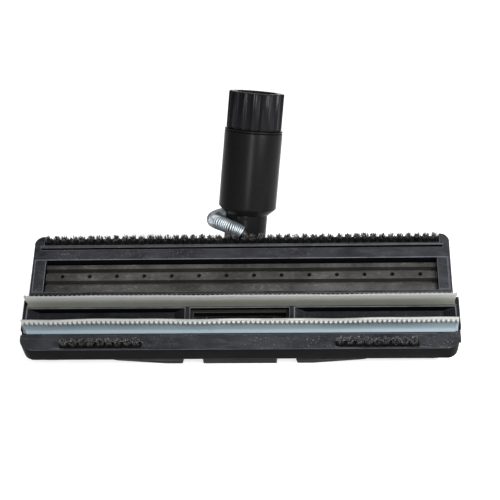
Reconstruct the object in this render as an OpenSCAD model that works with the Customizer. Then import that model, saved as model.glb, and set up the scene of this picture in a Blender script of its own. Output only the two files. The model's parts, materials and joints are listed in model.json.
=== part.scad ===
// Floor tool of a wet and dry floor scrubber: a spray bar between two squeegee lips,
// rows of bristle tufts, and a suction neck that tilts and rolls on the head.
//
// The head is drawn in its own frame: X along the lips, Y to the rear edge, Z out of the
// working face, with Z = 0 where the lips and tufts meet the floor in use. stand() then
// lays the whole tool on the sloping back of its duct housing, working face up.

/* [Head] */
// Length of each squeegee lip
lip_len = 361; // [330:1:400]
// Width of the rear half of the chassis
rear_w = 356; // [330:1:360]
// Width of the channel block that carries the lips
block_w = 367; // [364:1:410]
// Width of the front rail
front_w = 362; // [340:1:366]
// How far the moulded faces stand back from the floor line
face_drop = 7; // [5:0.5:9]
// Height of the chassis skirt below its moulded faces
skirt_h = 18.5; // [17:0.5:22]

/* [Brushes] */
// Distance between neighbouring bristle tufts
tuft_pitch = 7.35; // [7:0.05:7.4]
// Diameter of one bristle tuft
tuft_d = 4.4; // [3:0.1:5]
// Tufts in the rear row
rear_tufts = 46; // [20:2:46]
// Tufts in each short front row
front_tufts = 9; // [3:1:9]

/* [Spray] */
// Holes along the spray bar
jet_count = 14; // [6:2:14]
// Distance between neighbouring spray holes
jet_pitch = 23.4; // [20:0.1:24]
// Diameter of a spray hole
jet_d = 3.6; // [1.5:0.1:3.6]

/* [Neck and wand] */
// Outer diameter of the suction neck
neck_d = 36.5; // [34:0.5:36.5]
// Outer diameter of the swivel collar
collar_d = 50.4; // [46:0.5:52]
// Outer diameter of the fluted wand socket, over its flutes
socket_d = 48; // [45:0.5:48]
// Inside diameter of the wand socket
socket_bore = 35.4; // [32:0.1:36]
// Tilt of the neck above the working plane, as the tool lies
neck_tilt = 42; // [36:0.5:42]
// Sideways lean of the neck, as the tool lies
neck_lean = 8.6; // [0:0.1:10]

/* [Spray hose] */
// Outer diameter of the spring guard
guard_d = 11.6; // [10:0.2:11.6]
// Outer diameter of the hose inside the guard
hose_d = 8; // [6:0.5:8]

/* [Hidden] */

$fn = 64;
moulding = "#1b1b1c";

// Heights in the head frame
face_z = -face_drop;
land_z = -12;
ledge_z = -15;
recess_z = -21;
floor_z = -23;
rear_wall_z = -11;
base_z = face_z - skirt_h;
cover_z = -34;

// Lines along Y, from the rear edge to the front one
rear_y = 57;
trench_y0 = 48.4;
trench_y1 = 54.6;
tuft_y = (trench_y0 + trench_y1) / 2;
groove_y = 44.7;
groove_half = 1.05;
groove_depth = 3;
rail_y = 33.5;
recess_y = 2.3;
panel_y = -0.8;
lip1_y = -8;
lip1_t = 3.6;
channel_y = -9.5;
lip2_root_y = -32.6;
lip2_tip_y = -28.9;
lip2_t = 3.4;
front_rail_y = -38.5;
front_tuft_y = -47.9;
front_y = -52.3;

// Lines along X
recess_x = 166.3;
panel_x = 175.5;
front_row_x = 84;
mouth_x = 41.5;
divider_x = 46;
ramp_len = 9.5;
channel_x = lip_len / 2 - 0.5;

// Neck joint: the knuckle rolls about an axis along Y and the neck tilts in it, lower down
roll_z = -46;
tilt_y = 41;
tilt_drop = 12;
spigot_r = 17;
spigot_bore = 14.5;
spigot_gap = 0.06;
spigot_y = 2;
drum_r = 19;
drum_half = 20;
cheek_in = 20.4;
cheek_out = 25;
shell_r = 22.5;
pin_r = 3;

// Duct housing, whose sloping back is the foot of the tool
housing_y = 17;
housing_x = 31;
heel_y = -49.5;
heel_z = -40;
toe_z = -75;

// The back of the housing lies on the floor
stand_tilt = atan2(heel_z - toe_z, housing_y - heel_y);
stand_y = -49.87;
stand_z = -(heel_y * sin(stand_tilt) + heel_z * cos(stand_tilt));

// Stations along the neck from the tilt axis
chamfer_s = 61;
collar_s = 66.5;
ring_s = 133;
socket_s = 135;
socket_end = 167;
flutes = 18;
fitting_s = 56;
fitting_r = 27.5;

// Where the hose socket turns down into the cover
inlet_x = 3;
inlet_y = 38;
inlet_z = -15.2;

// Route of the spray hose in the head frame, from its socket to the fitting on the neck
hose_route = [[3, 55.9, -11], [2.8, 57.2, -10.8], [1.2, 60, -9.2], [-3.5, 62.3, -7], [-9, 64.3, -6],
    [-14.5, 68, -7.5], [-20, 72.5, -11], [-24, 78, -16.5], [-25, 84, -22.5],
    [-22.5, 90, -28.5], [-17, 95.5, -34], [-9.5, 99.5, -38.5], [-2.5, 101, -40.5]];
hose_sides = 10;

// ---- placing ----

module stand() {
    translate([0, stand_y, stand_z]) rotate([stand_tilt, 0, 0]) children();
}

// Origin on the roll axis, above the tilt axis
module rolled(lean) {
    translate([0, tilt_y, roll_z]) rotate([0, lean, 0]) children();
}

module at_knuckle() {
    stand() rolled(neck_lean) children();
}

// Z runs along the neck, away from the head, from the tilt axis
module at_neck() {
    at_knuckle() translate([0, 0, -tilt_drop]) rotate([neck_tilt - 90, 0, 0]) children();
}

// Sweeps an outline drawn in Y and Z from x0 to x1
module along_x(x0, x1) {
    translate([x0, 0, 0]) rotate([90, 0, 90]) linear_extrude(x1 - x0) children();
}

module box(x0, x1, y0, y1, z0, z1) {
    translate([x0, y0, z0]) cube([x1 - x0, y1 - y0, z1 - z0]);
}

// Plate whose two front corners have radius rf and whose two rear ones have radius rr
module plate(w, y0, y1, z0, z1, rf, rr) {
    translate([0, 0, z0]) linear_extrude(z1 - z0) union() {
        translate([-w / 2, y0 + rf]) square([w, y1 - y0 - rf - rr]);
        translate([-w / 2 + rf, y0]) square([w - 2 * rf, y1 - y0 - rr]);
        translate([-w / 2 + rr, y0 + rf]) square([w - 2 * rr, y1 - y0 - rf]);
        for (side = [-1, 1]) {
            translate([side * (w / 2 - rf), y0 + rf]) circle(rf);
            translate([side * (w / 2 - rr), y1 - rr]) circle(rr);
        }
    }
}

module rod_x(x0, x1, y, z, r) {
    translate([x0, y, z]) rotate([0, 90, 0]) cylinder(r = r, h = x1 - x0);
}

module rod_y(x, y0, y1, z, r) {
    translate([x, y0, z]) rotate([-90, 0, 0]) cylinder(r = r, h = y1 - y0);
}

// Round part with an inner bore
module tube(r_out, r_in, z0, z1) {
    difference() {
        translate([0, 0, z0]) cylinder(r = r_out, h = z1 - z0);
        translate([0, 0, z0 - 1]) cylinder(r = r_in, h = z1 - z0 + 2);
    }
}

// ---- chassis ----

// Room behind the rear edge for the neck, the knuckle and their sideways lean
module neck_room(r) {
    for (lean = [-15, 0, 15]) {
        rolled(lean) translate([0, 0, -tilt_drop]) {
            rod_x(-cheek_out - 1.5, cheek_out + 1.5, 0, 0, shell_r + 1);
            rotate([neck_tilt - 90, 0, 0]) cylinder(r = r, h = 70);
        }
    }
}

// Floor of one pocket, with a ramp at each end, as an outline in X and Z
module pocket(x0, x1) {
    translate([0, channel_y, 0]) rotate([90, 0, 0]) linear_extrude(channel_y - lip2_root_y)
        polygon([[x0, 1], [x0, ledge_z], [x0 + ramp_len, floor_z], [x1 - ramp_len, floor_z],
            [x1, ledge_z], [x1, 1]]);
}

module chassis() {
    color(moulding) stand() difference() {
        union() {
            plate(rear_w, panel_y, rear_y, base_z, face_z, 0.5, 8);
            plate(rear_w - 10, 46.2, 47.6, base_z, face_z + 0.6, 0.2, 0.2);
            box(-block_w / 2, block_w / 2, front_rail_y, panel_y, base_z, ledge_z);
            plate(front_w, front_y, front_rail_y, base_z, face_z, 10, 0.5);
        }
        box(-panel_x, panel_x, recess_y, rail_y, recess_z, 0);
        box(-169.5, 169.5, trench_y0, trench_y1, -13, 0);
        box(-169.5, 169.5, trench_y1 - 0.1, rear_y + 1, rear_wall_z, 0);
        box(-172, 172, groove_y - groove_half, groove_y + groove_half, face_z - groove_depth, 0);
        for (side = [-1, 1])
            translate([side * (front_row_x + tuft_pitch * 4), 0, 0])
                box(-34, 34, front_tuft_y - 3, front_tuft_y + 3, -12.5, 0);
        pocket(-channel_x, -divider_x);
        pocket(divider_x, channel_x);
        box(-divider_x - 0.01, divider_x + 0.01, lip2_root_y, channel_y, ledge_z, 0);
        box(-mouth_x, mouth_x, -29, channel_y, base_z - 1, 0);
        box(-lip_len / 2 - 0.3, lip_len / 2 + 0.3, lip1_y - 0.1, panel_y - 0.6, -22, 0);
        box(-lip_len / 2 - 0.3, lip_len / 2 + 0.3, front_rail_y + 0.6, lip2_root_y + lip2_t,
            -22, 0);
        for (side = [0, 1]) mirror([side, 0, 0])
            box(lip_len / 2 - 0.3, block_w, front_rail_y, lip2_root_y + lip2_t, -20, 0);
        neck_room(neck_d / 2 + 2);
        box(-12, 10.5, trench_y1 + 0.2, rear_y + 1, -18, 0);
        rod_y(inlet_x, inlet_y, rear_y, inlet_z, 1.8);
        translate([inlet_x, inlet_y, base_z - 1]) cylinder(r = 1.8, h = inlet_z - base_z + 1);
        for (x = [-150, -90, 90, 150], y = [-44, 40])
            translate([x, y, base_z - 1]) cylinder(r = 1.4, h = 9, $fn = 24);
        for (x = [-36, 36], y = [-33.5, 10])
            translate([x, y, base_z - 1]) cylinder(r = 1.4, h = 4, $fn = 24);
        for (x = [-160 : 64 : 160], y = [-2.9, -35.2])
            translate([x, y, base_z - 1]) cylinder(r = 0.8, h = 5, $fn = 20);
        translate([60, 20, base_z - 1]) cylinder(r = 3.1, h = 10, $fn = 32);
    }
}

// side is 1 for the left panel and 0 for the right one
module end_panel(side) {
    color("#202021") stand() mirror([side, 0, 0]) difference() {
        box(recess_x + 0.1, panel_x - 0.1, recess_y + 0.1, rail_y - 0.1, recess_z, face_z);
        rod_x(recess_x, recess_x + 4, 20, -17, 3);
    }
}

// ---- spray bar ----

module spray_bar() {
    depth = -17;
    color("#2b2b29") stand() difference() {
        along_x(-recess_x, recess_x) polygon([[recess_y + 0.6, recess_z],
            [recess_y + 0.6, land_z], [11.4, land_z], [12, depth], [15.3, depth],
            [15.9, land_z], [22.9, land_z], [23.5, depth], [26.6, depth], [27.2, land_z],
            [31.2, land_z], [31.8, recess_z]]);
        rod_x(-recess_x - 1, recess_x + 1, 20, -17, 2.6);
        for (i = [0 : jet_count - 1])
            translate([(i - (jet_count - 1) / 2) * jet_pitch, 20, -17])
                cylinder(r = jet_d / 2, h = 8, $fn = 24);
        translate([60, 20, recess_z - 1]) cylinder(r = 2.2, h = 4, $fn = 32);
    }
}

module spray_bar_plugs() {
    color("#333333") stand() for (side = [0, 1]) mirror([side, 0, 0]) {
        rod_x(recess_x - 7, recess_x, 20, -17, 2.6);
        rod_x(recess_x, recess_x + 3, 20, -17, 2.9);
    }
}

// Stub that carries water from the feed tube into the spray bar
module spray_inlet() {
    color("#8a8a86") stand() translate([60, 20, 0]) difference() {
        union() {
            translate([0, 0, recess_z]) cylinder(r = 2.2, h = 2, $fn = 32);
            translate([0, 0, -27]) cylinder(r = 3, h = recess_z + 27, $fn = 32);
        }
        translate([0, 0, -28]) cylinder(r = 1.2, h = 12, $fn = 24);
    }
}

// ---- swept tubes ----

// Unit vector along a route at point i
function heading(p, i) = let (a = p[max(i - 1, 0)], b = p[min(i + 1, len(p) - 1)])
    (b - a) / norm(b - a);

// A side vector that turns smoothly, built from the upright one
function side_of(t) = let (s = cross(t, [0.3, 0.4, 0.87])) s / norm(s);

// Splits each span of a route into n steps on a Catmull-Rom curve
function smooth(p, n) = [for (i = [0 : len(p) - 2], k = [0 : n - 1]) let (u = k / n,
    a = p[max(i - 1, 0)], b = p[i], c = p[i + 1], d = p[min(i + 2, len(p) - 1)])
    0.5 * (2 * b + (c - a) * u + (2 * a - 5 * b + 4 * c - d) * u * u
        + (3 * b - a - 3 * c + d) * u * u * u), p[len(p) - 1]];

module sweep(p, r, sides) {
    rings = len(p);
    points = [for (i = [0 : rings - 1]) let (t = heading(p, i), s = side_of(t),
        w = cross(t, s)) each [for (k = [0 : sides - 1])
            p[i] + r * (cos(360 * k / sides) * s + sin(360 * k / sides) * w)]];
    walls = [for (i = [0 : rings - 2], k = [0 : sides - 1]) let (n = (k + 1) % sides)
        each [[i * sides + k, (i + 1) * sides + k, (i + 1) * sides + n],
            [i * sides + k, (i + 1) * sides + n, i * sides + n]]];
    ends = [[for (k = [0 : sides - 1]) k],
        [for (k = [sides - 1 : -1 : 0]) (rings - 1) * sides + k]];
    polyhedron(points = points, faces = concat(walls, ends), convexity = 6);
}

// Runs inside the cover from the spray inlet to the hose socket
module feed_tube() {
    route = [[60, 20, -27.1], [59.4, 20.2, -28.4], [55, 22, -29.4], [44, 26, -29.4],
        [30, 31, -29.4], [16, 36.5, -29.4], [8, 38, -29.4], [5, 38, -29.4]];
    color("#b9b9b0") stand() sweep(smooth(route, 3), 1.5, 8);
}

// ---- brushes ----

module tufts(count, x0, y) {
    for (i = [0 : count - 1])
        translate([x0 + i * tuft_pitch, y, -10]) cylinder(r = tuft_d / 2, h = 10, $fn = 14);
}

module rear_brush_back() {
    color("#1e1e1f") stand() difference() {
        box(-169.3, 169.3, trench_y0 + 0.1, trench_y1 - 0.1, -13, -10);
        neck_room(neck_d / 2 + 2.2);
    }
}

module rear_bristles() {
    color("#0d0d0e") stand() tufts(rear_tufts, -(rear_tufts - 1) / 2 * tuft_pitch, tuft_y);
}

module front_brush_back(side) {
    color("#1e1e1f") stand() mirror([side, 0, 0])
        translate([front_row_x + tuft_pitch * 4, 0, 0])
            box(-33.8, 33.8, front_tuft_y - 2.9, front_tuft_y + 2.9, -12.5, -10);
}

module front_bristles(side) {
    color("#0d0d0e") stand() mirror([side, 0, 0])
        tufts(front_tufts, front_row_x, front_tuft_y);
}

// ---- squeegees ----

module rear_squeegee() {
    color("#8b8f86") stand() along_x(-lip_len / 2, lip_len / 2) polygon([[lip1_y, -21.9],
        [lip1_y, -15], [-7.7, -3], [-6.3, 0], [-5.1, 0], [lip1_y + lip1_t, -13],
        [lip1_y + lip1_t, -21.9]]);
}

module rear_squeegee_clamp() {
    color("#1e1e1f") stand() difference() {
        along_x(-lip_len / 2 + 0.5, lip_len / 2 - 0.5) polygon([[lip1_y + lip1_t, -21.9],
            [lip1_y + lip1_t, -13], [-3, -11.5], [-1.5, -11.5], [-1.5, -21.9]]);
        for (x = [-160 : 64 : 160])
            translate([x, -2.9, -23]) cylinder(r = 0.8, h = 5, $fn = 20);
    }
}

module front_squeegee() {
    lean = (lip2_tip_y - lip2_root_y) / 17;
    nub_pitch = 4;
    nubs = floor((lip_len - 6) / nub_pitch);
    color("#aeb6bd") stand() {
        along_x(-lip_len / 2, lip_len / 2) polygon([[lip2_root_y, -21.9], [lip2_root_y, -17],
            [lip2_tip_y - 0.6, -1], [lip2_tip_y, 0], [lip2_tip_y + 1.6, 0],
            [lip2_root_y + lip2_t, -16], [lip2_root_y + lip2_t, -21.9]]);
        for (i = [0 : nubs])
            translate([(i - nubs / 2) * nub_pitch, lip2_tip_y - 0.9, -3.6])
                rotate([0, 0, 45]) translate([-0.7, -0.7, -1.4]) cube([1.4, 1.4, 2.8]);
    }
}

module front_squeegee_clamp() {
    color("#1e1e1f") stand() difference() {
        along_x(-lip_len / 2 + 0.5, lip_len / 2 - 0.5) polygon([
            [front_rail_y + 0.7, -21.9], [front_rail_y + 0.7, -12], [-36, -12],
            [lip2_root_y, -15], [lip2_root_y, -21.9]]);
        for (x = [-160 : 64 : 160])
            translate([x, -35.2, -23]) cylinder(r = 0.8, h = 5, $fn = 20);
    }
}

module screw(r, len, head_r, head_h) {
    cylinder(r = r, h = len, $fn = 24);
    translate([0, 0, -head_h]) difference() {
        cylinder(r = head_r, h = head_h, $fn = 32);
        for (a = [0, 90]) rotate([0, 0, a]) translate([-head_r * 0.7, -0.35, -1])
            cube([head_r * 1.4, 0.7, 1.8]);
    }
}

// Short screws from the back of the chassis into each clamp strip
module clamp_screws() {
    color("#9a9c9e") stand() for (x = [-160 : 64 : 160], y = [-2.9, -35.2])
        translate([x, y, base_z]) cylinder(r = 0.8, h = 6.5, $fn = 20);
}

// ---- suction path ----

// Grille frame round the suction mouth
module channel_insert() {
    color("#151516") stand() difference() {
        box(-mouth_x, mouth_x, -28.9, channel_y, base_z, -19);
        box(-mouth_x + 2.5, mouth_x - 2.5, -26.4, channel_y - 2.5, base_z - 1, 0);
    }
}

module suction_seal() {
    color("#0c0c0c") stand() difference() {
        box(-mouth_x - 2, mouth_x + 2, -31, -7.5, base_z - 1.5, base_z);
        box(-mouth_x + 2.5, mouth_x - 2.5, -26.4, -12, base_z - 2, base_z + 1);
    }
}

module top_cover() {
    color(moulding) stand() difference() {
        union() {
            plate(rear_w - 8, front_y + 4, rear_y - 4, cover_z, base_z, 12, 10);
            for (side = [0, 1]) mirror([side, 0, 0]) wing();
        }
        difference() {
            plate(rear_w - 14, front_y + 7, rear_y - 7, cover_z + 2.5, base_z + 1, 9, 7);
            for (x = [-150, -90, 90, 150], y = [-44, 40])
                translate([x, y, cover_z]) cylinder(r = 5, h = 20, $fn = 40);
        }
        for (x = [-150, -90, 90, 150], y = [-44, 40]) translate([x, y, cover_z - 1]) {
            cylinder(r = 1.7, h = 20, $fn = 24);
            cylinder(r = 3.4, h = 4, $fn = 32);
        }
        box(-housing_x - 0.3, housing_x + 0.3, heel_y, housing_y + 9.3, cover_z - 20, base_z);
        neck_room(neck_d / 2 + 2);
    }
}

// Shoulder beside the duct housing that reaches down to the lying plane
module wing() {
    x0 = 47;
    x1 = 106;
    depth = heel_z + 0.2;
    translate([0, -12, 0]) rotate([90, 0, 0]) linear_extrude(-heel_y - 12)
        polygon([[x0, cover_z + 1], [x0 + 1.5, depth], [x0 + 14, depth],
            [x1, cover_z + 1]]);
}

module cover_screws() {
    color("#8f9193") stand() for (x = [-150, -90, 90, 150], y = [-44, 40])
        translate([x, y, cover_z + 3]) screw(1.4, 13, 3.1, 2.2);
}

// Carries the air from the mouth to the round swivel bore, and is the foot of the tool
module duct_housing() {
    color("#171718") stand() difference() {
        union() {
            along_x(-housing_x, housing_x) polygon([[heel_y, base_z - 3],
                [heel_y, heel_z], [housing_y, toe_z], [housing_y, base_z - 3]]);
            box(-mouth_x - 2, mouth_x + 2, -36, 13, base_z - 4, base_z - 1.5);
        }
        along_x(-housing_x + 3, housing_x - 3) polygon([[-28, -36], [-28, -43],
            [0, -60], [0, -33], [-20, -30]]);
        box(-housing_x + 3, housing_x - 3, -26.4, -12, -36.1, 0);
        rod_y(0, -1, housing_y + 1, roll_z, spigot_r + spigot_gap);
        for (x = [-36, 36], y = [-33.5, 10])
            translate([x, y, base_z - 10]) cylinder(r = 1.6, h = 12, $fn = 24);
    }
}

module housing_screws() {
    color("#8f9193") stand() for (x = [-36, 36], y = [-33.5, 10])
        translate([x, y, base_z - 4]) screw(1.4, 7, 2.6, 2);
}

module swivel_seal() {
    color("#0c0c0c") stand() translate([0, 0, roll_z]) rotate([-90, 0, 0])
        tube(spigot_r, spigot_bore, 0, spigot_y - 0.3);
}

module hose_socket() {
    color("#191919") stand() {
        difference() {
            rod_y(inlet_x, trench_y1 + 0.3, rear_y - 0.2, -11, guard_d / 2 + 0.4);
            rod_y(inlet_x, trench_y1 + 0.8, rear_y + 2, -11, hose_d / 2 + 1.3);
            neck_room(neck_d / 2 + 1.6);
        }
        rod_y(inlet_x, inlet_y, trench_y1 + 0.3, inlet_z, 1.8);
        translate([inlet_x, inlet_y, cover_z + 2.8])
            cylinder(r = 1.8, h = inlet_z - cover_z - 2.8);
    }
}

// ---- knuckle ----

module knuckle() {
    color("#171718") at_knuckle() difference() {
        union() {
            rod_y(0, spigot_y - tilt_y, -15, 0, spigot_r);
            difference() {
                rod_x(-cheek_out, cheek_out, 0, -tilt_drop, shell_r);
                box(-40, 40, -9, 40, -60, 60);
                box(-40, 40, -14.5, 0, -60, -tilt_drop - 8);
            }
            for (side = [0, 1]) mirror([side, 0, 0])
                rod_x(cheek_in, cheek_out, 0, -tilt_drop, drum_r - 1);
        }
        rod_y(0, -50, -10, 0, spigot_bore);
        rod_x(-cheek_in, cheek_in, 0, -tilt_drop, drum_r + 0.4);
        rod_x(-cheek_out - 1, cheek_out + 1, 0, -tilt_drop, pin_r);
    }
}

// Ring that snaps over the spigot and keeps it in the housing
module swivel_clip() {
    color("#8f9193") at_knuckle() translate([0, housing_y - tilt_y + 0.3, 0])
        rotate([-90, 0, 0]) tube(spigot_r + 3, spigot_r, 0, 1.2);
}

module tilt_pins() {
    color("#9a9c9e") at_knuckle() for (side = [0, 1]) mirror([side, 0, 0]) {
        rod_x(drum_half - 5, cheek_out, 0, -tilt_drop, pin_r);
        rod_x(cheek_out, cheek_out + 1.2, 0, -tilt_drop, pin_r + 2);
    }
}

// ---- neck ----

module neck() {
    color("#161617") at_neck() difference() {
        union() {
            rod_x(-drum_half, drum_half, 0, 0, drum_r);
            cylinder(r = neck_d / 2, h = 120);
        }
        translate([0, 0, 8]) cylinder(r = neck_d / 2 - 2.5, h = 120);
        rod_x(-drum_half + 3, drum_half - 3, 0, 0, drum_r - 3);
        box(-drum_half + 4, drum_half - 4, -12, 12, -30, -8);
        rod_x(-drum_half - 1, drum_half + 1, 0, 0, pin_r + 0.05);
        box(-6.7, 0, -neck_d / 2 - 1, -neck_d / 2 + 1.6, 57.6, 58.8);
    }
}

// Spring tab that locks the collar on the neck
module neck_latch() {
    color("#222223") at_neck() difference() {
        box(-9.2, -7.2, -neck_d / 2 - 0.6, -neck_d / 2 + 3, 58.4, 60.6);
        cylinder(r = neck_d / 2, h = 120);
    }
}

module hose_fitting() {
    color("#191919") at_neck() difference() {
        union() {
            translate([6, 0, fitting_s]) rotate([-90, 0, 0]) cylinder(r = 4.5, h = fitting_r);
            rod_x(-1, 12, fitting_r, fitting_s, 5.2);
            rod_x(-4, -1, fitting_r, fitting_s, 6.4);
        }
        cylinder(r = neck_d / 2, h = 120);
        rod_x(-5, 1, fitting_r, fitting_s, hose_d / 2 + 0.9);
    }
}

module neck_seal() {
    color("#0c0c0c") at_neck() tube(neck_d / 2 + 2, neck_d / 2, 70, 73);
}

// ---- spray hose ----

module spray_hose() {
    color("#161616") stand() sweep(smooth(hose_route, 3), hose_d / 2, hose_sides);
}

module hose_spring() {
    route = smooth(hose_route, 3);
    guarded = [for (i = [9 : len(route) - 4]) route[i]];
    longer = [for (i = [8 : len(route) - 3]) route[i]];
    color("#c9cbcc") stand() difference() {
        sweep(guarded, guard_d / 2, hose_sides);
        sweep(longer, hose_d / 2 + 0.1, hose_sides);
    }
}

// ---- collar and wand socket ----

module swivel_collar() {
    color("#161617") at_neck() difference() {
        rotate_extrude() polygon([[neck_d / 2 + 0.08, chamfer_s],
            [neck_d / 2 + 0.9, chamfer_s], [collar_d / 2, collar_s], [collar_d / 2, ring_s - 1],
            [collar_d / 2 - 1, ring_s], [neck_d / 2 + 0.08, ring_s]]);
        translate([0, 0, 69.5]) cylinder(r = neck_d / 2 + 2.1, h = 4);
        translate([0, 0, 125]) cylinder(r = 21, h = 20);
    }
}

module collar_ring() {
    color("#1d1d1e") at_neck() tube(collar_d / 2, 21.2, ring_s + 0.4, socket_s);
}

module wand_socket() {
    color("#141415") at_neck() difference() {
        union() {
            translate([0, 0, 125]) cylinder(r = 21, h = socket_s - 125);
            translate([0, 0, socket_s]) cylinder(r = socket_d / 2, h = socket_end - socket_s);
        }
        translate([0, 0, 120]) cylinder(r = socket_bore / 2, h = 60);
        for (i = [0 : flutes - 1]) rotate([0, 0, (i + 0.5) * 360 / flutes])
            translate([socket_d / 2 + 1.6, 0, socket_s + 2])
                cylinder(r = 3, h = socket_end, $fn = 32);
        translate([0, 0, 128]) tube(25, 19.2, 0, 2.4);
    }
}

module wand_seal() {
    color("#0c0c0c") at_neck() tube(21, 19.2, 128.1, 130.3);
}

chassis();
end_panel(1);  // end_panel_left
end_panel(0);  // end_panel_right
spray_bar();
spray_bar_plugs();
spray_inlet();
feed_tube();
rear_brush_back();
rear_bristles();
front_brush_back(1);  // front_brush_back_left
front_brush_back(0);  // front_brush_back_right
front_bristles(1);  // front_bristles_left
front_bristles(0);  // front_bristles_right
rear_squeegee();
rear_squeegee_clamp();
front_squeegee();
front_squeegee_clamp();
clamp_screws();
channel_insert();
suction_seal();
top_cover();
cover_screws();
duct_housing();
housing_screws();
swivel_seal();
hose_socket();
knuckle();
swivel_clip();
tilt_pins();
neck();
neck_latch();
hose_fitting();
spray_hose();
hose_spring();
neck_seal();
swivel_collar();
collar_ring();
wand_socket();
wand_seal();
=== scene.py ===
"""Looks for the floor tool of a wet and dry floor scrubber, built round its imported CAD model."""

import json
import math
import random

import bmesh
import bpy
from mathutils import Matrix, Vector

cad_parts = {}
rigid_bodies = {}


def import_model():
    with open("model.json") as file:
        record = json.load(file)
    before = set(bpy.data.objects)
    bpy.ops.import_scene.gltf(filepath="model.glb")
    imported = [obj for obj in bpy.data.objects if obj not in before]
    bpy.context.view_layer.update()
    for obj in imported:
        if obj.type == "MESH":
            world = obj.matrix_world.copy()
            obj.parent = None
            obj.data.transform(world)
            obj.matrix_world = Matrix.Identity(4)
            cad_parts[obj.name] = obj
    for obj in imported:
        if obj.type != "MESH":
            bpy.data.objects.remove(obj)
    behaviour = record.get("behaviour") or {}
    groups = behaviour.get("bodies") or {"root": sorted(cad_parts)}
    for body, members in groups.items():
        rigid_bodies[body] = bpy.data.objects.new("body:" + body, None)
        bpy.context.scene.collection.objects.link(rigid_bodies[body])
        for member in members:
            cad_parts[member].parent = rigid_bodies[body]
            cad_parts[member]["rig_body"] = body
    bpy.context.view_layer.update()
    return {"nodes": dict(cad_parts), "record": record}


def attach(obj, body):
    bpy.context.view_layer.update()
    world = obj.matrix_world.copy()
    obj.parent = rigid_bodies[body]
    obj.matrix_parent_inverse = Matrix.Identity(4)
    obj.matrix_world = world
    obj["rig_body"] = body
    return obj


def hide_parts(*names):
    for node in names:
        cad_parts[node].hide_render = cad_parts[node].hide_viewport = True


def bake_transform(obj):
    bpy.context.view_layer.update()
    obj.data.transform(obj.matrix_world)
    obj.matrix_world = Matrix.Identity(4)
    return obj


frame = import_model()
random.seed(7)

MM = 0.001

# The head is drawn in its own frame, in millimetres: X along the lips, Y to the rear edge,
# Z out of the working face. STAND lays it on the sloping back of its duct housing.
HEEL_Y, HEEL_Z = -49.5, -40.0
TOE_Y, TOE_Z = 17.0, -75.0
STAND_Y = -49.87
STAND_TILT = math.atan2(HEEL_Z - TOE_Z, TOE_Y - HEEL_Y)
STAND_Z = -(HEEL_Y * math.sin(STAND_TILT) + HEEL_Z * math.cos(STAND_TILT))
STAND = (Matrix.Scale(MM, 4) @ Matrix.Translation((0, STAND_Y, STAND_Z))
         @ Matrix.Rotation(STAND_TILT, 4, "X"))
OUT_OF_FACE = (STAND.to_3x3() @ Vector((0, 0, 1))).normalized()

# The neck frame has its origin on the tilt axis and Z along the neck
ROLL_AT = (0, 41, -46)
TILT_DROP = 12.0
NECK_LEAN = math.radians(8.6)
NECK_TILT = math.radians(42 - 90)
NECK = (STAND @ Matrix.Translation(ROLL_AT) @ Matrix.Rotation(NECK_LEAN, 4, "Y")
        @ Matrix.Translation((0, 0, -TILT_DROP)) @ Matrix.Rotation(NECK_TILT, 4, "X"))

LIP_HALF = 180.5
NUB_PITCH = 4.0
TUFT_PITCH = 7.35
REAR_TUFTS, REAR_TUFT_Y = 46, 51.5
FRONT_TUFTS, FRONT_TUFT_X, FRONT_TUFT_Y = 9, 84.0, -47.9
TUFT_BASE_Z = -10.0

# Stations along the neck, and radii of the parts that turn on it
COLLAR_S0, COLLAR_S1 = 61, 133
RING_S0, RING_S1 = 133.5, 135
SOCKET_S0, SOCKET_S1 = 125, 167
COLLAR_R, COLLAR_BORE = 25.2, 18.33
SOCKET_R, SOCKET_BORE = 24, 17.7
FLUTES, FLUTE_DEPTH = 18, 1.5

# The camera in the head frame: where it stands, the way it looks back, and its upright
CAMERA_AT = Vector((55.343, -507.847, 907.95))
CAMERA_BACK = Vector((0.04408, -0.51454, 0.85633))
CAMERA_UP = Vector((0.00881, 0.85733, 0.51468))

DUST = (0.34, 0.33, 0.31)


# ---- materials ----

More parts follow.
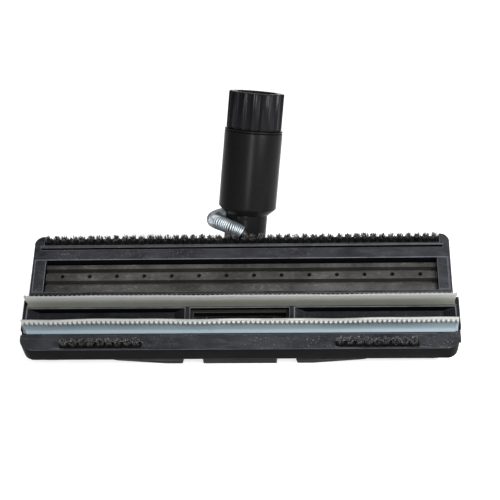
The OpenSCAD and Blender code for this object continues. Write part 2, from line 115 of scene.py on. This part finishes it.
class Nodes:
    """A material's node tree with short ways to add and join nodes."""

    def __init__(self, name):
        self.material = bpy.data.materials.new(name)
        self.material.use_nodes = True
        self.tree = self.material.node_tree
        self.shader = self.tree.nodes["Principled BSDF"]
        self.coords = self.add("ShaderNodeTexCoord").outputs["Object"]

    def add(self, kind, **settings):
        node = self.tree.nodes.new(kind)
        for key, value in settings.items():
            setattr(node, key, value)
        return node

    def join(self, output, socket):
        self.tree.links.new(output, socket)

    def scaled(self, scale):
        mapping = self.add("ShaderNodeMapping")
        mapping.inputs["Scale"].default_value = scale
        self.join(self.coords, mapping.inputs["Vector"])
        return mapping.outputs["Vector"]

    def noise(self, scale, detail=4.0, rough=0.55, where=None):
        node = self.add("ShaderNodeTexNoise")
        node.inputs["Scale"].default_value = scale
        node.inputs["Detail"].default_value = detail
        node.inputs["Roughness"].default_value = rough
        self.join(where or self.coords, node.inputs["Vector"])
        return node.outputs["Fac"]

    def ramp(self, value, low, high, out_low=0.0, out_high=1.0):
        node = self.add("ShaderNodeMapRange")
        for key, number in (("From Min", low), ("From Max", high), ("To Min", out_low),
                            ("To Max", out_high)):
            node.inputs[key].default_value = number
        self.join(value, node.inputs["Value"])
        return node.outputs["Result"]

    def times(self, a, b):
        node = self.add("ShaderNodeMath", operation="MULTIPLY")
        self.join(a, node.inputs[0])
        self.join(b, node.inputs[1])
        return node.outputs[0]

    def at_least(self, value, least):
        node = self.add("ShaderNodeMath", operation="MAXIMUM")
        self.join(value, node.inputs[0])
        node.inputs[1].default_value = least
        return node.outputs[0]

    def attribute(self, name):
        return self.add("ShaderNodeAttribute", attribute_name=name).outputs["Fac"]

    def mix(self, share, a, b):
        """Mixes two colours. Each is a colour or the output of another node."""
        node = self.add("ShaderNodeMix", data_type="RGBA")
        self.join(share, node.inputs["Factor"])
        for socket, colour in ((node.inputs[6], a), (node.inputs[7], b)):
            if isinstance(colour, tuple):
                socket.default_value = (*colour, 1)
            else:
                self.join(colour, socket)
        return node.outputs[2]

    def bump(self, height, strength, distance, under=None):
        node = self.add("ShaderNodeBump")
        node.inputs["Strength"].default_value = strength
        node.inputs["Distance"].default_value = distance
        self.join(height, node.inputs["Height"])
        if under:
            self.join(under, node.inputs["Normal"])
        return node.outputs["Normal"]

    def finish(self, colour, rough, normal, specular=0.5, metallic=0.0):
        self.join(colour, self.shader.inputs["Base Color"])
        self.join(rough, self.shader.inputs["Roughness"])
        self.join(normal, self.shader.inputs["Normal"])
        self.shader.inputs["Specular IOR Level"].default_value = specular
        self.shader.inputs["Metallic"].default_value = metallic
        return self.material


def moulded(name, wall, face, scuffed, rough, specks=0.0, specular=0.2):
    """Black moulded plastic. Its faces that look out of the working face are painted lighter than
    its walls, as scuffed grey wear in patches and as painted light, and the walls darker as painted
    shade. They hold dry specks of dirt, and its long rounded edges are painted paler, as wear and
    as a painted highlight."""
    n = Nodes(name)
    patches = n.noise(28, 6, 0.62)
    scuffs = n.noise(210, 5, 0.7, n.scaled((0.25, 1, 1)))
    worn_and_lit = n.mix(n.ramp(patches, 0.36, 0.7), face, scuffed)
    worn_and_lit = n.mix(n.ramp(scuffs, 0.5, 0.75, 0, 0.45), worn_and_lit, tuple(1.9 * v for v in scuffed))
    # Faces that look out get the lighter face colour, as wear and as painted light; walls keep the
    # dark colour as painted shade
    colour = n.mix(n.attribute("worn_and_lit"), wall, worn_and_lit)
    # Rounded edges painted paler: edge wear and a painted highlight
    edge_wear_and_highlight = n.times(n.attribute("edge"), n.ramp(n.noise(90, 4), 0.3, 0.6, 0.55, 1))
    colour = n.mix(edge_wear_and_highlight, colour, tuple(2.6 * v + 0.012 for v in scuffed))
    if specks:
        spots = n.ramp(n.noise(900, 2, 0.5), 0.64, 0.71, 0, specks)
        patchy = n.times(spots, n.ramp(n.noise(17, 3), 0.42, 0.6))
        colour = n.mix(n.times(patchy, n.attribute("worn_and_lit")), colour, DUST)
    grain = n.bump(n.noise(2400, 3), 0.16, 0.0002)
    normal = n.bump(n.noise(70, 3), 0.12, 0.0006, grain)
    return n.finish(colour, n.ramp(patches, 0.3, 0.75, *rough), normal, specular)


def extruded(name):
    """Spray bar: draw lines along its length under dry dust that gathers in patches, mostly on
    faces that look out of the working face; that also paints those faces lighter as painted light
    and leaves the sunk grooves darker as painted shade.
    """
    n = Nodes(name)
    lines = n.noise(380, 3, 0.6, n.scaled((0.02, 1, 1)))
    dust = n.ramp(n.noise(24, 8, 0.68), 0.4, 0.66)
    flecks = n.ramp(n.noise(520, 5, 0.7, n.scaled((0.45, 1, 1))), 0.54, 0.7)
    colour = n.mix(n.ramp(lines, 0.35, 0.7, 0, 0.6), (0.009, 0.0088, 0.0083),
                   (0.027, 0.0262, 0.024))
    # Dust shows mostly on faces that look out: real dust, and also painted light on those faces
    # with painted shade in the sunk grooves
    lit_and_exposed = n.at_least(n.attribute("worn_and_lit"), 0.12)
    dust_and_light = n.times(n.ramp(dust, 0, 1, 0.15, 0.9), lit_and_exposed)
    colour = n.mix(dust_and_light, colour, (0.058, 0.056, 0.052))
    colour = n.mix(n.times(dust_and_light, n.ramp(flecks, 0, 1, 0, 0.5)), colour, (0.24, 0.23, 0.21))
    normal = n.bump(lines, 0.25, 0.0004, n.bump(flecks, 0.5, 0.0005))
    return n.finish(colour, n.ramp(dust, 0, 1, 0.45, 0.8), normal, 0.35)


def lip_rubber(name, face, tip, rough, smear):
    """Squeegee rubber: its working edge is dry and pale, and water marks run down its face. Its
    lower flare is painted lighter as a painted highlight, and the gaps between its nubs darker as
    painted shade.
    """
    n = Nodes(name)
    marks = n.noise(40, 6, 0.65, n.scaled((1, 0.3, 0.3)))
    colour = n.mix(n.ramp(marks, 0.35, 0.75, 0, 0.55), face, smear)
    colour = n.mix(n.attribute("worn"), colour, tip)
    # Painted highlight: the lower flare is painted lighter
    colour = n.mix(n.attribute("flare_highlight"), colour, tuple(1.45 * v for v in smear))
    # Painted shade in the gaps between the nubs
    colour = n.mix(n.attribute("nub_gap_shade"), colour, (0.03, 0.028, 0.022))
    stains = n.ramp(n.noise(130, 5, 0.7), 0.6, 0.78, 0, 0.35)
    colour = n.mix(stains, colour, (0.10, 0.095, 0.07))
    normal = n.bump(marks, 0.1, 0.0005, n.bump(n.noise(1500, 2), 0.08, 0.0002))
    return n.finish(colour, n.ramp(marks, 0.3, 0.75, *rough), normal, 0.5)


def bristle(name):
    """Black nylon whose cut tips are painted grey, as dry dirt and as a painted highlight on the
    tips.
    """
    n = Nodes(name)
    patches = n.noise(160, 4)
    colour = n.mix(n.ramp(patches, 0.35, 0.7, 0, 0.5), (0.0035, 0.0035, 0.004),
                   (0.01, 0.0095, 0.0095))
    # Grey tips: dry dirt and a painted highlight
    colour = n.mix(n.ramp(n.attribute("tip"), 0.55, 1), colour, (0.3, 0.28, 0.275))
    return n.finish(colour, n.ramp(patches, 0.3, 0.7, 0.4, 0.65), n.bump(patches, 0.1, 0.0002), 0.4)


def metal(name, colour, dull, rough):
    """Plated steel with dull patches and a fine unevenness."""
    n = Nodes(name)
    patches = n.noise(90, 5, 0.6)
    tone = n.mix(n.ramp(patches, 0.4, 0.7, 0, 0.6), colour, dull)
    normal = n.bump(n.noise(1800, 2), 0.1, 0.0001)
    return n.finish(tone, n.ramp(patches, 0.35, 0.7, *rough), normal, 0.5, 1.0)


def seal_rubber(name):
    """Dull black rubber of the hose and the seals."""
    n = Nodes(name)
    patches = n.noise(60, 5)
    colour = n.mix(n.ramp(patches, 0.4, 0.7), (0.012, 0.012, 0.012), (0.03, 0.03, 0.029))
    return n.finish(colour, n.ramp(patches, 0.3, 0.7, 0.5, 0.75), n.bump(patches, 0.2, 0.0004), 0.4)


def clear_tube(name):
    """Milky plastic of the water fittings inside."""
    n = Nodes(name)
    patches = n.noise(50, 4)
    colour = n.mix(n.ramp(patches, 0.4, 0.7), (0.44, 0.44, 0.41), (0.36, 0.36, 0.33))
    return n.finish(colour, n.ramp(patches, 0.3, 0.7, 0.25, 0.4), n.bump(patches, 0.1, 0.0003), 0.5)


LOOKS = {
    # Where a moulded look's face colour is lighter than its wall colour, the faces that look out
    # are painted lighter as wear and as painted light, and the walls darker as painted shade
    "chassis_plastic": moulded(
        "chassis_plastic", wall=(0.0022, 0.0022, 0.0026), face=(0.0125, 0.0128, 0.0148),
        scuffed=(0.031, 0.0316, 0.0355), rough=(0.36, 0.5), specks=0.3, specular=0.008),
    "cover_plastic": moulded(
        "cover_plastic", wall=(0.0045, 0.0045, 0.0045), face=(0.007, 0.007, 0.007),
        scuffed=(0.012, 0.0115, 0.0105), rough=(0.4, 0.55), specks=0.15, specular=0.06),
    "spray_bar_plastic": extruded("spray_bar_plastic"),
    "fitting_plastic": clear_tube("fitting_plastic"),
    "brush_back_plastic": moulded(
        "brush_back_plastic", wall=(0.004, 0.004, 0.0045), face=(0.006, 0.006, 0.0065),
        scuffed=(0.012, 0.012, 0.013), rough=(0.5, 0.7)),
    "bristle": bristle("bristle"),
    "rear_lip_rubber": lip_rubber(
        "rear_lip_rubber", face=(0.175, 0.177, 0.15), tip=(0.2, 0.204, 0.196),
        rough=(0.32, 0.45), smear=(0.22, 0.222, 0.19)),
    "front_lip_rubber": lip_rubber(
        "front_lip_rubber", face=(0.11, 0.145, 0.165), tip=(0.26, 0.257, 0.235),
        rough=(0.25, 0.4), smear=(0.17, 0.21, 0.235)),
    "steel": metal(
        "steel", colour=(0.6, 0.6, 0.6), dull=(0.4, 0.4, 0.39), rough=(0.28, 0.45)),
    "spring_steel": metal(
        "spring_steel", colour=(0.5, 0.545, 0.575), dull=(0.36, 0.4, 0.425),
        rough=(0.42, 0.55)),
    "hose_rubber": seal_rubber("hose_rubber"),
    "seal_rubber": seal_rubber("seal_rubber"),
    "neck_plastic": moulded(
        "neck_plastic", wall=(0.0062, 0.006, 0.0062), face=(0.0062, 0.006, 0.0062),
        scuffed=(0.011, 0.011, 0.011), rough=(0.24, 0.32), specular=0.05),
    "wand_plastic": moulded(
        "wand_plastic", wall=(0.006, 0.006, 0.007), face=(0.006, 0.006, 0.007),
        scuffed=(0.012, 0.012, 0.0135), rough=(0.24, 0.32), specular=0.07),
}


def dress(piece, slot):
    piece.data.materials.clear()
    piece.data.materials.append(LOOKS[slot])


# ---- making pieces ----

def add_piece(name, mesh, body, slot, *replaced):
    """Puts a finished mesh in the scene in place of CAD nodes. With no body it is left unattached.
    """
    piece = bpy.data.objects.new(name, mesh)
    bpy.context.scene.collection.objects.link(piece)
    dress(piece, slot)
    if body:
        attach(piece, body)
    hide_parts(*replaced)
    return piece


def mesh_from(name, points, faces, place, smooth_angle=40):
    mesh = bpy.data.meshes.new(name)
    mesh.from_pydata([place @ Vector(p) for p in points], [], faces)
    bm = bmesh.new()
    bm.from_mesh(mesh)
    bmesh.ops.recalc_face_normals(bm, faces=bm.faces)
    bm.to_mesh(mesh)
    bm.free()
    smooth(mesh, smooth_angle)
    return mesh


def smooth(mesh, angle):
    mesh.polygons.foreach_set("use_smooth", [True] * len(mesh.polygons))
    mesh.set_sharp_from_angle(angle=math.radians(angle))


def lathe_faces(rings, sides, closed_rings):
    """Quads between rings of points. Closed rings join the last ring to the first."""
    faces = []
    last = rings if closed_rings else rings - 1
    for i in range(last):
        j = (i + 1) % rings
        for k in range(sides):
            m = (k + 1) % sides
            faces.append((i * sides + k, j * sides + k, j * sides + m, i * sides + m))
    return faces


# Which edges of a CAD piece are rounded, and which of its faces count as worn and lit (painted
# lighter, as wear and as painted light), sunk (painted less so, left darker as painted shade) and
# flat, in mm and mm2. Points closer than MERGE metres become one.
MERGE = 2e-6
SHORTEST_EDGE, SHARP_ANGLE = 7.0, math.radians(40)
FACING = 0.6
SUNK_DEPTH, SUNK_SHARE = 1.2, 0.45
FLAT_ANGLE, FLAT_AREA = math.radians(0.5), 40
CREASE_ANGLE = math.radians(35)


def rounded(node, slot, width):
    """A CAD piece with its long outer edges rounded, as they leave the mould. Its faces that look
    out of the working face are marked for lighter paint, as wear and as painted light, and those
    sunk below the top one less so, which leaves them darker as painted shade."""
    source = frame["nodes"][node]
    bm = bmesh.new()
    bm.from_mesh(source.data)
    edge = bm.faces.layers.float.new("edge")
    worn_and_lit = bm.faces.layers.float.new("worn_and_lit")
    bmesh.ops.remove_doubles(bm, verts=bm.verts, dist=MERGE)
    edges = [e for e in bm.edges if e.is_manifold and e.is_convex
             and e.calc_face_angle() > SHARP_ANGLE
             and e.calc_length() > SHORTEST_EDGE * MM]
    rolled = bmesh.ops.bevel(bm, geom=edges, offset=width * MM, segments=3, profile=0.5,
                             affect="EDGES", clamp_overlap=False)["faces"]
    bm.normal_update()
    facing = [f for f in bm.faces if f.normal.dot(OUT_OF_FACE) > FACING]
    top = max(f.calc_center_median().dot(OUT_OF_FACE) for f in facing)
    # Faces that look out get the lighter paint, as wear and as painted light; sunk ones get less,
    # left darker as painted shade
    for face in facing:
        sunk = top - face.calc_center_median().dot(OUT_OF_FACE) > SUNK_DEPTH * MM
        face[worn_and_lit] = SUNK_SHARE if sunk else 1.0
    for face in bm.faces:
        flat = min((e.calc_face_angle(0) for e in face.edges), default=0) < FLAT_ANGLE
        face.smooth = not flat and face.calc_area() < FLAT_AREA * MM * MM
    # Rounded edges are marked for paler paint: edge wear and a painted highlight
    for face in rolled:
        face[edge] = 1.0
        face.smooth = True
    bmesh.ops.triangulate(bm, faces=[f for f in bm.faces if len(f.verts) > 4],
                          ngon_method="EAR_CLIP")
    mesh = bpy.data.meshes.new(node + "_rounded")
    bm.to_mesh(mesh)
    bm.free()
    if mesh.attributes.get("custom_normal"):
        mesh.attributes.remove(mesh.attributes["custom_normal"])
    mesh.set_sharp_from_angle(angle=CREASE_ANGLE)
    return add_piece(node + "_moulding", mesh, source["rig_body"], slot, node)


# ---- bristles ----

STRANDS, STRAND_RINGS, STRAND_SIDES = 62, 5, 3
STRAND_R, STRAND_TAPER = 0.27, 0.04
TUFT_R, SPLAY = 2.2, 1.5
TIP_FROM = 0.62


def tuft_strands(x, y, points, faces, shade):
    """One tuft: strands packed at the root that splay and curl towards their cut ends."""
    lean_x, lean_y = random.uniform(-0.5, 0.5), random.uniform(-0.35, 0.35)
    for _ in range(STRANDS):
        angle = random.uniform(0, math.tau)
        reach = math.sqrt(random.random())
        root = TUFT_R * reach
        tip = root * SPLAY + random.uniform(-0.15, 0.5)
        top = random.uniform(-1.1, 0.9) - 0.8 * reach * reach
        curl, turn = random.uniform(0.15, 0.65), random.uniform(0, math.tau)
        for ring in range(STRAND_RINGS):
            u = ring / (STRAND_RINGS - 1)
            r = root + (tip - root) * u ** 1.8
            bend = curl * u ** 3
            cx = x + r * math.cos(angle) + bend * math.cos(turn) + lean_x * u
            cy = y + r * math.sin(angle) * 0.92 + bend * math.sin(turn) + lean_y * u
            z = TUFT_BASE_Z + (top - TUFT_BASE_Z) * u
            thick = STRAND_R - STRAND_TAPER * u
            for side in range(STRAND_SIDES):
                a = angle + side * math.tau / STRAND_SIDES
                points.append((cx + thick * math.cos(a), cy + thick * math.sin(a), z))
                # How grey the strand is painted towards its tip, as dry dirt and as a painted
                # highlight
                dried_and_highlit = max(0.0, (u - TIP_FROM) / (1 - TIP_FROM)) ** 1.5
                shade.append(dried_and_highlit * random.uniform(0.45, 1.0))
        base = len(points) - STRAND_RINGS * STRAND_SIDES
        sides = lathe_faces(STRAND_RINGS, STRAND_SIDES, False)
        faces += [[base + q for q in face] for face in sides]
        last = len(points) - 1
        faces += [[base, base + 1, base + 2], [last, last - 1, last - 2]]


def tuft_row(name, node, count, x0, step, y):
    """A row of tufts. The strands' last stretch is marked as tip."""
    points, faces, shade = [], [], []
    for i in range(count):
        tuft_strands(x0 + i * step, y, points, faces, shade)
    mesh = mesh_from(name, points, faces, STAND, 80)
    mesh.attributes.new("tip", "FLOAT", "POINT").data.foreach_set("value", shade)
    return add_piece(name, mesh, "head", "bristle", node)


# ---- squeegee lips ----

LIP_STEP = 0.4
LIP_SLOPE_DEPTH, LIP_SWAY_DEPTH = 15, 13
# How dark the gaps between nubs are painted, as painted shade
GAP_SHADE = 0.4


def sway(x, scale):
    """How far a lip's free edge wanders off its straight line at x."""
    return scale * (0.5 * math.sin(x / 19 + 0.6) + 0.35 * math.sin(x / 9.3 + 2.1)
                    + 0.5 * math.sin(x / 47 + 4.0))


def tooth(x, half_width):
    """1 in the middle of a tooth and 0 in the gaps between teeth."""
    off = abs((x / NUB_PITCH + 0.5) % 1 - 0.5) * NUB_PITCH
    return max(0.0, min(1.0, (half_width - off) / 0.45 + 0.5))


def lip(name, node, slot, outline, end_cut, wander):
    """Sweeps a lip's outline along X. Each outline point is y, z, wear, painted highlight, tooth
    height and tooth half width. The ends slope back by end_cut over the lip's free height."""
    stations = round(2 * LIP_HALF / LIP_STEP)
    points, marks = [], {"worn": [], "flare_highlight": [], "nub_gap_shade": []}
    for i in range(stations + 1):
        along = (i / stations * 2 - 1) * LIP_HALF
        for y, z, worn, flare_highlight, height, half in outline:
            sloped = -z / LIP_SLOPE_DEPTH if z > -LIP_SLOPE_DEPTH else 0
            x = along * (1 - end_cut * sloped / LIP_HALF)
            free = max(0.0, 1 + z / LIP_SWAY_DEPTH)
            share = tooth(along, half) if height else 1.0
            points.append((x, y + height * share + free * sway(along, wander), z))
            marks["worn"].append(worn)
            marks["flare_highlight"].append(flare_highlight)
            # Gaps between teeth get painted shade
            marks["nub_gap_shade"].append(GAP_SHADE * (1 - share))
    sides = len(outline)
    faces = lathe_faces(stations + 1, sides, False)
    faces += [list(range(sides)), [stations * sides + k for k in reversed(range(sides))]]
    mesh = mesh_from(name, points, faces, STAND, 50)
    for key, values in marks.items():
        mesh.attributes.new(key, "FLOAT", "POINT").data.foreach_set("value", values)
    return add_piece(name, mesh, "head", slot, node)


REAR_LIP = [
    (-8.0, -21.9, 0, 0, 0, 0), (-8.0, -15, 0, 0, 0, 0), (-7.95, -9, 0, 0, 0, 0),
    (-7.8, -4.4, 0, 0, 0, 0), (-7.72, -4.1, 0.9, 0, 0, 0), (-7.1, -1.8, 1, 0, 0, 0),
    (-6.35, -0.2, 1, 0, 0, 0), (-6.1, 0, 0.9, 0, 0, 0), (-5.55, -0.02, 0.6, 0, 0, 0),
    (-5.3, -0.35, 0.3, 0, 0, 0), (-5.2, -0.9, 0, 0, 0.8, 0.9), (-4.95, -4.6, 0, 0, 0.7, 0.9),
    (-4.8, -6.0, 0, 0, 0, 0), (-4.45, -13, 0, 0, 0, 0), (-4.4, -21.9, 0, 0, 0, 0)]

# The fourth column paints the lower flare lighter, as a painted highlight
FRONT_LIP = [
    (-32.6, -21.9, 0, 0, 0, 0), (-32.6, -15.2, 0, 0.4, 0, 0), (-34.3, -13.4, 0, 0.9, 0, 0),
    (-33.6, -12.6, 0, 1, 0, 0), (-32.6, -11.6, 0, 0.9, 0, 0), (-31.95, -10.4, 0, 0.6, 0, 0),
    (-31.3, -8.2, 0, 0.25, 0, 0), (-30.85, -6.2, 0, 0, 0, 0), (-30.55, -5.0, 0.2, 0, -0.3, 0.3),
    (-30.3, -4.2, 0.3, 0, -0.9, 0.6), (-30.0, -3.1, 0.35, 0, -1.3, 0.95),
    (-29.75, -1.9, 0.5, 0, -1.3, 1.3), (-29.65, -1.5, 0.8, 0, -0.2, 1.3),
    (-29.3, -0.5, 0.9, 0, 0, 0), (-28.95, -0.05, 0.8, 0, 0, 0), (-27.8, 0, 0.6, 0, 0, 0),
    (-27.4, -0.5, 0.2, 0, 0, 0), (-28.0, -8, 0, 0, 0, 0), (-29.2, -16, 0, 0, 0, 0),
    (-29.2, -21.9, 0, 0, 0, 0)]


# ---- spray hose and its spring guard ----

HOSE_ROUTE = [Vector(p) for p in (
    (3, 55.9, -11), (2.8, 57.2, -10.8), (1.2, 60, -9.2), (-3.5, 62.3, -7), (-9, 64.3, -6),
    (-14.5, 68, -7.5), (-20, 72.5, -11), (-24, 78, -16.5), (-25, 84, -22.5), (-22.5, 90, -28.5),
    (-17, 95.5, -34), (-9.5, 99.5, -38.5), (-2.5, 101, -40.5))]
HOSE_SPLIT = 8
GUARD_FROM, GUARD_TO = 2.2, 11.75
WIRE_R, COIL_R, HOSE_R = 0.68, 5.55, 4.0
WIRE_SIDES, HOSE_SIDES = 7, 24
PITCH, OPENED = 1.06, 0.75
OPEN_AT, OPEN_SPAN = 5.6, 0.75


def on_route(t):
    """Point of the hose's Catmull-Rom curve at t, counted in route points."""
    i = min(int(t), len(HOSE_ROUTE) - 2)
    u = t - i
    a, b = HOSE_ROUTE[max(i - 1, 0)], HOSE_ROUTE[i]
    c, d = HOSE_ROUTE[i + 1], HOSE_ROUTE[min(i + 2, len(HOSE_ROUTE) - 1)]
    return 0.5 * (2 * b + (c - a) * u + (2 * a - 5 * b + 4 * c - d) * u ** 2
                  + (3 * b - a - 3 * c + d) * u ** 3)


def route_frame(t):
    """The route's heading at t, and two directions square to it."""
    heading = on_route(min(t + 0.05, len(HOSE_ROUTE) - 1.001)) - on_route(max(t - 0.05, 0))
    heading.normalize()
    side = heading.cross(Vector((0.3, 0.4, 0.87))).normalized()
    return heading, side, heading.cross(side)


def tube_mesh(name, centres, radius, sides, frames, smooth_angle=60):
    """A closed tube through the centres. Each frame holds two directions square to it."""
    points = []
    for centre, (side, up) in zip(centres, frames):
        for k in range(sides):
            a = math.tau * k / sides
            points.append(centre + radius * (math.cos(a) * side + math.sin(a) * up))
    faces = lathe_faces(len(centres), sides, False)
    start = (len(centres) - 1) * sides
    faces += [list(range(sides)), [start + k for k in reversed(range(sides))]]
    return mesh_from(name, points, faces, STAND, smooth_angle)


def hose_half(name, t0, t1):
    """The plain hose between two places on its route."""
    steps = 48
    times = [t0 + (t1 - t0) * i / steps for i in range(steps + 1)]
    frames = [route_frame(t)[1:] for t in times]
    return tube_mesh(name, [on_route(t) for t in times], HOSE_R, HOSE_SIDES, frames)


def coil_half(name, t0, t1):
    """Wire wound round the route. Its turns touch, but stand open on the tight bend."""
    centres, frames = [], []
    t, turn = t0, 0.0
    per_turn = 20
    while t < t1:
        heading, side, up = route_frame(t)
        out = math.cos(turn) * side + math.sin(turn) * up
        centres.append(on_route(t) + COIL_R * out)
        frames.append((out, heading))
        gap = math.exp(-((t - OPEN_AT) / OPEN_SPAN) ** 2)
        pitch = 2 * WIRE_R * (PITCH + OPENED * gap)
        speed = (on_route(min(t + 0.02, t1)) - on_route(t - 0.02)).length / 0.04
        t += pitch / per_turn / max(speed, 0.5)
        turn += math.tau / per_turn
    return tube_mesh(name, centres, WIRE_R, WIRE_SIDES, frames, 180)


def add_hose():
    """Hose and spring in two halves each."""
    last = len(HOSE_ROUTE) - 1.001
    halves = (
        ("spray_hose_lower", hose_half, 0.0, HOSE_SPLIT, "hose_rubber", "spray_hose"),
        ("spray_hose_upper", hose_half, HOSE_SPLIT, last, "hose_rubber", "spray_hose"),
        ("hose_spring_lower", coil_half, GUARD_FROM, HOSE_SPLIT, "spring_steel", "hose_spring"),
        ("hose_spring_upper", coil_half, HOSE_SPLIT, GUARD_TO, "spring_steel", "hose_spring"))
    for name, make, t0, t1, slot, node in halves:
        piece = add_piece(name, make(name, t0, t1), None, slot, node)
        if name.endswith("lower"):
            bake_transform(piece)
        else:
            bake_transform(piece)


# ---- turned parts of the neck and wand ----

def turned(name, node, body, slot, outline, flute=None, segments=216):
    """Sweeps a closed outline of radius, station and flute share round the neck's axis."""
    points = []
    for k in range(segments):
        a = math.tau * k / segments
        cut = flute(a) if flute else 0.0
        for radius, station, share in outline:
            r = radius - cut * share
            points.append((r * math.cos(a), r * math.sin(a), station))
    mesh = mesh_from(name, points, lathe_faces(segments, len(outline), True), NECK, 32)
    return add_piece(name, mesh, body, slot, node)


def flute_depth(angle):
    """Depth of the wand socket's flutes: broad hollows between narrow rounded ribs."""
    wave = 0.5 + 0.5 * math.cos(FLUTES * angle)
    return FLUTE_DEPTH * (1 - wave ** 3)


def arc(r, s, radius, start, end, steps=4):
    """Points of an outline's rounded corner, about its centre, in degrees."""
    return [(r + radius * math.cos(math.radians(start + (end - start) * i / steps)),
             s + radius * math.sin(math.radians(start + (end - start) * i / steps)), 0)
            for i in range(steps + 1)]


def add_turned_parts():
    """Collar, ring and wand socket, each an outline of radius, station and flute share."""
    seal_groove = [(COLLAR_BORE, 73.6, 0), (20.35, 73.5, 0), (20.35, 69.5, 0),
                   (COLLAR_BORE, 69.4, 0)]
    collar = ([(COLLAR_BORE, COLLAR_S0, 0), (19.0, COLLAR_S0, 0)]
              + arc(COLLAR_R - 1.6, 67.4, 1.6, -45, 0)
              + arc(COLLAR_R - 0.6, COLLAR_S1 - 0.6, 0.6, 0, 90)
              + [(21.2, COLLAR_S1, 0), (21.2, SOCKET_S0, 0), (COLLAR_BORE, SOCKET_S0, 0)]
              + seal_groove)
    turned("swivel_collar_moulding", "swivel_collar", "wand", "neck_plastic", collar)
    ring = ([(21.25, RING_S0, 0)] + arc(COLLAR_R - 0.4, RING_S0 + 0.4, 0.4, -90, 0)
            + arc(COLLAR_R - 0.7, RING_S1 - 0.7, 0.7, 0, 90) + [(21.25, RING_S1, 0)])
    turned("collar_ring_moulding", "collar_ring", "wand", "neck_plastic", ring)
    clip_groove = [(21, 128.0, 0), (19.2, 128.05, 0), (19.2, 130.4, 0), (21, 130.45, 0)]
    socket = ([(SOCKET_BORE, SOCKET_S0, 0), (21, SOCKET_S0, 0)] + clip_groove
              + [(21, 135.05, 0), (22.5, 135.1, 0.3), (23.7, 135.3, 1), (SOCKET_R, 136.0, 1),
                 (SOCKET_R, 152, 1), (SOCKET_R, 166.3, 1), (23.7, 166.8, 1),
                 (23.3, SOCKET_S1, 1), (18.1, SOCKET_S1, 0), (SOCKET_BORE, 166.6, 0)])
    turned("wand_socket_profile", "wand_socket", "wand", "wand_plastic", socket, flute_depth)


# ---- camera, floor and light ----

def add_camera():
    """A long lens in front of the working face, placed in the head frame."""
    across = CAMERA_UP.cross(CAMERA_BACK).normalized()
    turn = Matrix((across, CAMERA_UP, CAMERA_BACK)).transposed().to_4x4()
    place = Matrix.Translation(STAND @ CAMERA_AT)
    data = bpy.data.cameras.new("camera")
    data.sensor_width = 36
    data.lens = 90
    camera = bpy.data.objects.new("camera", data)
    camera.matrix_world = place @ Matrix.Rotation(STAND_TILT, 4, "X") @ turn
    bpy.context.scene.collection.objects.link(camera)
    bpy.context.scene.camera = camera


def add_light(name, at, size, power, aim=(0, 0, 0.07)):
    """A rectangular light that faces the tool and that the camera doesn't see."""
    data = bpy.data.lights.new(name, "AREA")
    data.shape = "RECTANGLE"
    data.size, data.size_y = size
    data.energy = power
    light = bpy.data.objects.new(name, data)
    light.location = at
    light.rotation_euler = (Vector(aim) - Vector(at)).to_track_quat("-Z", "Y").to_euler()
    light.visible_camera = False
    bpy.context.scene.collection.objects.link(light)


def add_studio():
    """A pale floor that glows a little, a dim sky, and three soft lights."""
    mesh = bpy.data.meshes.new("floor")
    reach = 12
    mesh.from_pydata([(-reach, -reach, 0), (reach, -reach, 0), (reach, reach, 0),
                      (-reach, reach, 0)], [], [(0, 1, 2, 3)])
    floor = bpy.data.objects.new("floor", mesh)
    bpy.context.scene.collection.objects.link(floor)
    pale = Nodes("pale_floor")
    tone = pale.noise(3, 3)
    colour = pale.mix(tone, (0.66, 0.66, 0.66), (0.68, 0.68, 0.68))
    mesh.materials.append(pale.finish(colour, pale.ramp(tone, 0, 1, 0.85, 0.9),
                                      pale.bump(tone, 0.01, 0.001), 0.1))
    pale.shader.inputs["Emission Color"].default_value = (1, 1, 1, 1)
    pale.shader.inputs["Emission Strength"].default_value = 0.62
    world = bpy.data.worlds.new("studio")
    world.use_nodes = True
    world.node_tree.nodes["Background"].inputs["Color"].default_value = (0.95, 0.97, 1, 1)
    world.node_tree.nodes["Background"].inputs["Strength"].default_value = 0.22
    bpy.context.scene.world = world
    bpy.context.scene.view_settings.view_transform = "Standard"
    add_light("overhead", (0.6, -0.5, 0.62), (0.4, 0.4), 14)
    add_light("front", (-0.02, -1.75, 1.0), (0.3, 1.2), 30)
    add_light("back", (0.0, 1.3, 1.3), (1.6, 0.5), 4)


# ---- the whole tool ----

add_camera()
add_studio()

for entry in frame["record"]["subparts"]:
    dress(frame["nodes"][entry["node"]], entry["material_slot"])

rounded("chassis", "chassis_plastic", 0.55)
rounded("end_panel_left", "chassis_plastic", 0.45)
rounded("end_panel_right", "chassis_plastic", 0.45)
rounded("spray_bar", "spray_bar_plastic", 0.35)
rounded("top_cover", "cover_plastic", 0.8)
rounded("duct_housing", "cover_plastic", 0.9)
rounded("channel_insert", "cover_plastic", 0.3)
rounded("rear_squeegee_clamp", "brush_back_plastic", 0.25)
rounded("front_squeegee_clamp", "brush_back_plastic", 0.25)

tuft_row("rear_bristle_tufts", "rear_bristles", REAR_TUFTS,
         -(REAR_TUFTS - 1) / 2 * TUFT_PITCH, TUFT_PITCH, REAR_TUFT_Y)
tuft_row("front_bristle_tufts_left", "front_bristles_left", FRONT_TUFTS,
         -FRONT_TUFT_X, -TUFT_PITCH, FRONT_TUFT_Y)
tuft_row("front_bristle_tufts_right", "front_bristles_right", FRONT_TUFTS,
         FRONT_TUFT_X, TUFT_PITCH, FRONT_TUFT_Y)

lip("rear_squeegee_lip", "rear_squeegee", "rear_lip_rubber", REAR_LIP, 3.6, 0.3)
lip("front_squeegee_lip", "front_squeegee", "front_lip_rubber", FRONT_LIP, 3.2, 0.55)

add_hose()
add_turned_parts()
